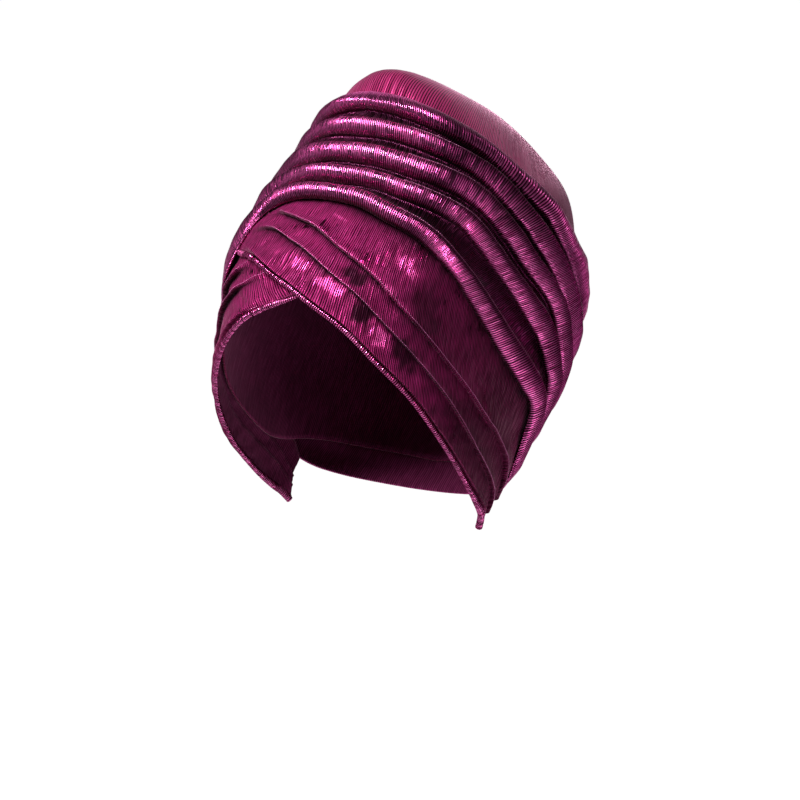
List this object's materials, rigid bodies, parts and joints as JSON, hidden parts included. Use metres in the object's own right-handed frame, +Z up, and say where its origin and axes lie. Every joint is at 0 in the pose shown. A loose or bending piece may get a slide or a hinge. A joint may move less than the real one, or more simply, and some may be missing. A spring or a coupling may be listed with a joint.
{
  "type": "turban",
  "caption": "Head-wrap turban of metallic pleated cloth: a tall smooth crown, rolled folds laid round the head and two pleated bands crossing at the brow above rolled hems.",
  "frame": {"origin": "on the head's axis at brow height, inside the hollow, where the head holds the turban", "axes": "+Z up, -Y towards the brow, +X towards the wearer's left"},
  "size_m": [0.1922, 0.2509, 0.2619],
  "materials": {
    "crown": "crinkle-pleated metallic magenta cloth, half matt",
    "drape": "crinkle-pleated metallic magenta cloth with a foil shine on the folds",
    "front_band": "crinkle-pleated metallic magenta cloth with a foil shine in patches",
    "hem": "rolled and stitched metallic magenta cloth"
  },
  "bodies": {
    "root": {"crown": "crown", "drape": "drape", "front_band_left": "front_band", "front_band_right": "front_band", "hem_left": "hem", "hem_right": "hem"}
  },
  "joints": []
}
